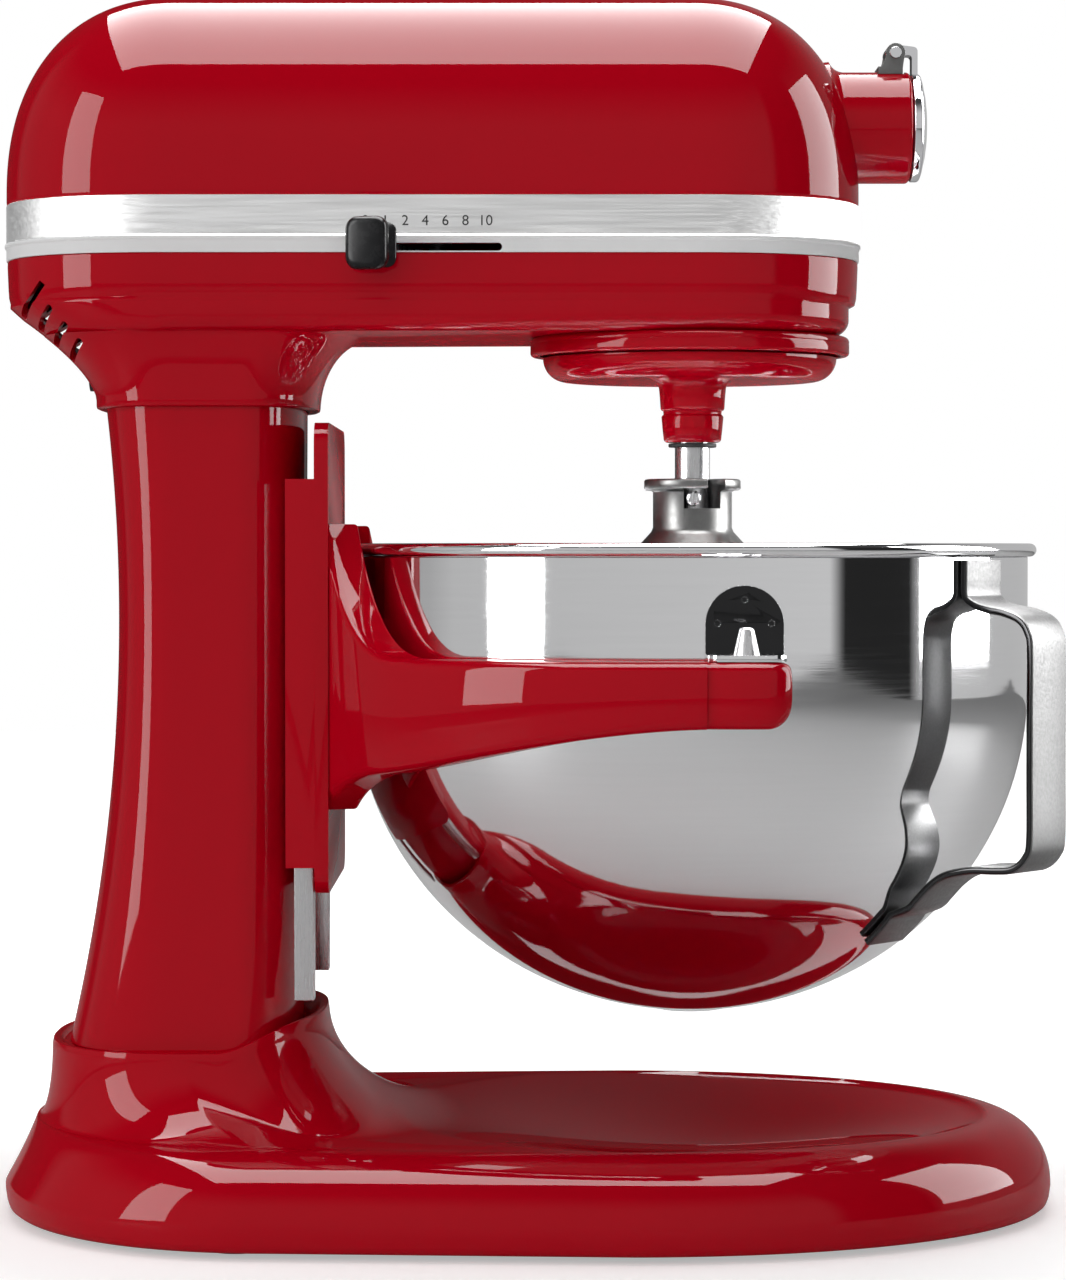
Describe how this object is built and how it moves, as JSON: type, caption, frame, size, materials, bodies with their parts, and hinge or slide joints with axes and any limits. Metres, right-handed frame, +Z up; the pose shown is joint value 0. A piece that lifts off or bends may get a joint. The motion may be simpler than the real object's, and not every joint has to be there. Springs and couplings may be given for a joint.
{
  "type": "stand mixer",
  "caption": "Bowl-lift stand mixer: cast base and column, motor head with planetary drive, steel bowl on a sliding yoke, wire whip and front attachment hub.",
  "frame": {"origin": "middle of the base's footprint, on the counter under the rubber feet", "axes": "+X to the front, where the attachment hub points; +Y to the side of the lift lever; +Z up"},
  "size_m": [0.3627, 0.281, 0.4193],
  "materials": {
    "red_enamel": "gloss baked enamel",
    "black_rubber": "matt",
    "black_plastic": "semi-gloss",
    "polished_steel": "mirror polished",
    "brushed_trim": "fine brushed lengthwise",
    "blasted_steel": "bead blasted",
    "satin_steel": "satin",
    "cast_aluminium": "as cast, burnished",
    "dark_steel": "oiled",
    "bronze": "machined",
    "carbon": "matt",
    "copper_winding": "varnished",
    "green_board": "semi-matt"
  },
  "bodies": {
    "stand": {"base_casting": "red_enamel", "rubber_feet": "black_rubber", "column_casting": "red_enamel", "column_bolts": "dark_steel", "neck_bolts": "dark_steel", "guide_rails": "satin_steel", "lift_shaft_bushes": "bronze", "gearcase_casting": "red_enamel", "gearcase_ring": "red_enamel", "motor_housing": "red_enamel", "housing_screws": "dark_steel", "trim_band": "brushed_trim", "trim_screws": "brushed_trim", "transmission_plate": "cast_aluminium", "ring_gear": "dark_steel", "centre_bush": "bronze", "drive_bush": "bronze", "motor_field": "dark_steel", "motor_brackets": "cast_aluminium", "motor_bearings": "satin_steel", "brush_holders": "bronze", "carbon_brushes": "carbon", "speed_plate": "cast_aluminium", "speed_lever_pivot": "dark_steel", "control_board": "green_board", "cord_gland": "black_rubber", "hub_sleeve": "brushed_trim", "hub_drive_bush": "bronze", "cover_lug": "satin_steel", "cover_hinge_pin": "polished_steel"},
    "bowl_support": {"bowl_yoke": "red_enamel", "locating_pins": "polished_steel", "bowl_latch_spring": "polished_steel", "lift_plate": "satin_steel"},
    "lift_lever": {"lift_shaft": "dark_steel", "lift_crank": "dark_steel", "lift_lever_arm": "satin_steel", "lift_lever_knob": "black_plastic"},
    "bowl": {"mixing_bowl": "polished_steel", "bowl_brackets": "polished_steel", "bowl_latch_stud": "polished_steel", "bowl_handle": "blasted_steel"},
    "planetary": {"planetary": "red_enamel", "agitator_bush": "bronze", "centre_shaft": "dark_steel", "centre_gear": "dark_steel"},
    "agitator": {"agitator_shaft": "satin_steel", "agitator_pinion": "dark_steel", "cross_pin": "satin_steel", "shaft_washer": "black_rubber"},
    "whip": {"whip_hub": "cast_aluminium", "whip_wires": "polished_steel"},
    "drive_gears": {"drive_pinion": "dark_steel", "worm_wheel": "bronze"},
    "armature": {"armature": "copper_winding"},
    "hub_drive": {"hub_drive": "dark_steel"},
    "speed_lever": {"speed_lever_arm": "satin_steel", "speed_knob": "black_plastic"},
    "hub_cover": {"hub_cover": "polished_steel"},
    "hub_screw": {"hub_screw_knob": "black_plastic"}
  },
  "joints": [
    {"name": "bowl_lift", "type": "slide", "parent": "stand", "child": "bowl_support", "axis": [0, 0, 1], "range_m": [-0.035, 0]},
    {"name": "lift_lever_turn", "type": "hinge", "parent": "stand", "child": "lift_lever", "pos_m": [-0.1, 0, 0.175], "axis": [0, -1, 0], "range_deg": [0, 90]},
    {"name": "bowl_lift_off", "type": "slide", "parent": "bowl_support", "child": "bowl", "axis": [0, 0, 1], "range_m": [0, 0.0115]},
    {"name": "planetary_turn", "type": "hinge", "parent": "stand", "child": "planetary", "pos_m": [0.056, 0, 0.2965], "axis": [0, 0, 1], "continuous": true},
    {"name": "agitator_spin", "type": "hinge", "parent": "planetary", "child": "agitator", "pos_m": [0.056, -0.025, 0.2765], "axis": [0, 0, 1], "continuous": true},
    {"name": "whip_bayonet", "type": "hinge", "parent": "agitator", "child": "whip", "pos_m": [0.056, -0.025, 0.2465], "axis": [0, 0, 1], "range_deg": [-28, 0]},
    {"name": "drive_gears_turn", "type": "hinge", "parent": "stand", "child": "drive_gears", "pos_m": [0.00951, 0.0244, 0.3365], "axis": [0, 0, 1], "continuous": true},
    {"name": "armature_spin", "type": "hinge", "parent": "stand", "child": "armature", "pos_m": [-0.1, 0, 0.3749], "axis": [1, 0, 0], "continuous": true},
    {"name": "hub_drive_turn", "type": "hinge", "parent": "stand", "child": "hub_drive", "pos_m": [0.09, 0, 0.3749], "axis": [1, 0, 0], "continuous": true},
    {"name": "speed_lever_swing", "type": "hinge", "parent": "stand", "child": "speed_lever", "pos_m": [-0.0315, -0.01, 0.3294], "axis": [0, 0, 1], "range_deg": [0, 37.8]},
    {"name": "hub_cover_swing", "type": "hinge", "parent": "stand", "child": "hub_cover", "pos_m": [0.1269, 0, 0.4003], "axis": [0, -1, 0], "range_deg": [0, 110]},
    {"name": "hub_screw_turn", "type": "hinge", "parent": "stand", "child": "hub_screw", "pos_m": [0.1192, 0.02, 0.3749], "axis": [0, 1, 0], "continuous": true}
  ],
  "couplings": [
    {"joint": "lift_lever_turn", "follows": "bowl_lift", "rad_per_m": -44.879},
    {"joint": "agitator_spin", "follows": "planetary_turn", "ratio": -4.3333},
    {"joint": "drive_gears_turn", "follows": "planetary_turn", "ratio": -3.375},
    {"joint": "armature_spin", "follows": "planetary_turn", "ratio": 60.75},
    {"joint": "hub_drive_turn", "follows": "planetary_turn", "ratio": 1.86}
  ]
}
